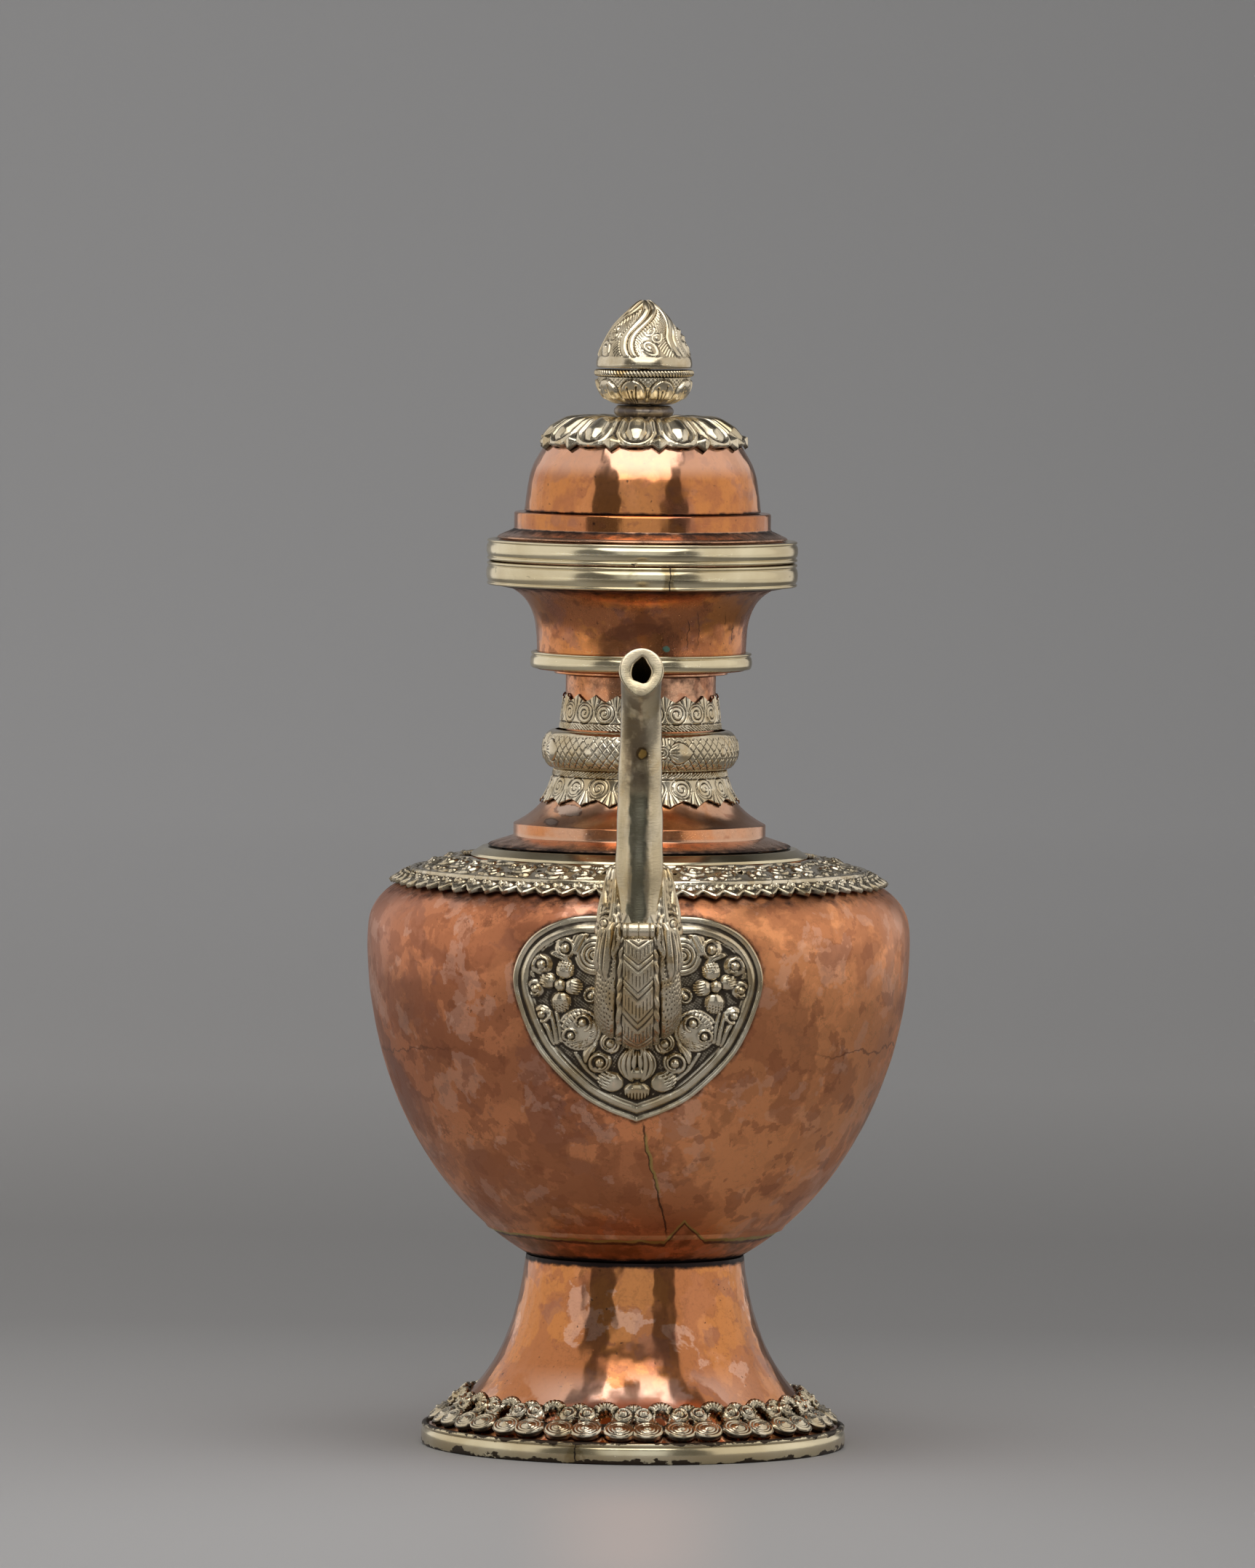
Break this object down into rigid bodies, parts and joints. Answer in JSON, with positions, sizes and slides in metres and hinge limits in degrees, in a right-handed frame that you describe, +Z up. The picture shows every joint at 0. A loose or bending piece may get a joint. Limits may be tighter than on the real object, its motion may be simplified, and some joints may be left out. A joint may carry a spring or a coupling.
{
  "type": "lidded ewer",
  "caption": "Raised copper ewer on a splayed foot with a lift-off domed lid, a creature-head spout and a loop handle, for serving tea or other drinks.",
  "frame": {"origin": "on the vessel's axis, at the ground plane", "axes": "+Z up the vessel's axis, -Y towards the spout, +X to the right as the spout faces the viewer"},
  "size_m": [0.1898, 0.2798, 0.3995],
  "materials": {
    "copper": "polished hammered copper with brown patina patches",
    "white_brass": "polished pale nickel brass, tarnished at its edges",
    "silvered_sheet": "chased silvered sheet with dark recesses",
    "tarnished_collar": "dark tarnished"
  },
  "bodies": {
    "vessel": {"foot_shell": "copper", "foot_rim_band": "white_brass", "foot_scroll_border": "silvered_sheet", "body_base": "copper", "bowl_shell": "copper", "shoulder_shell": "copper", "shoulder_scroll_border": "silvered_sheet", "neck_base_ring": "white_brass", "neck_base": "copper", "lower_lappet_collar": "silvered_sheet", "neck_knop": "silvered_sheet", "upper_lappet_collar": "silvered_sheet", "neck_tube": "copper", "neck_flange": "copper", "cup_shell": "copper", "cup_base_band": "white_brass", "cup_rim_band": "white_brass", "spout_plate": "silvered_sheet", "spout_creature_throat": "white_brass", "spout_creature_head": "white_brass", "spout_tube": "white_brass", "handle_grip": "white_brass"},
    "lid": {"lid_step": "copper", "lid_dome": "copper", "lid_rim_band": "white_brass", "lid_bezel": "copper", "lotus_cap": "silvered_sheet", "finial_collar": "tarnished_collar", "finial_calyx": "silvered_sheet", "finial_band": "white_brass", "finial_bud": "silvered_sheet", "finial_stem": "tarnished_collar", "stem_washer": "white_brass"}
  },
  "joints": [
    {"name": "lid_lift", "type": "slide", "parent": "vessel", "child": "lid", "axis": [0, 0, 1], "range_m": [0, 0.06]}
  ]
}
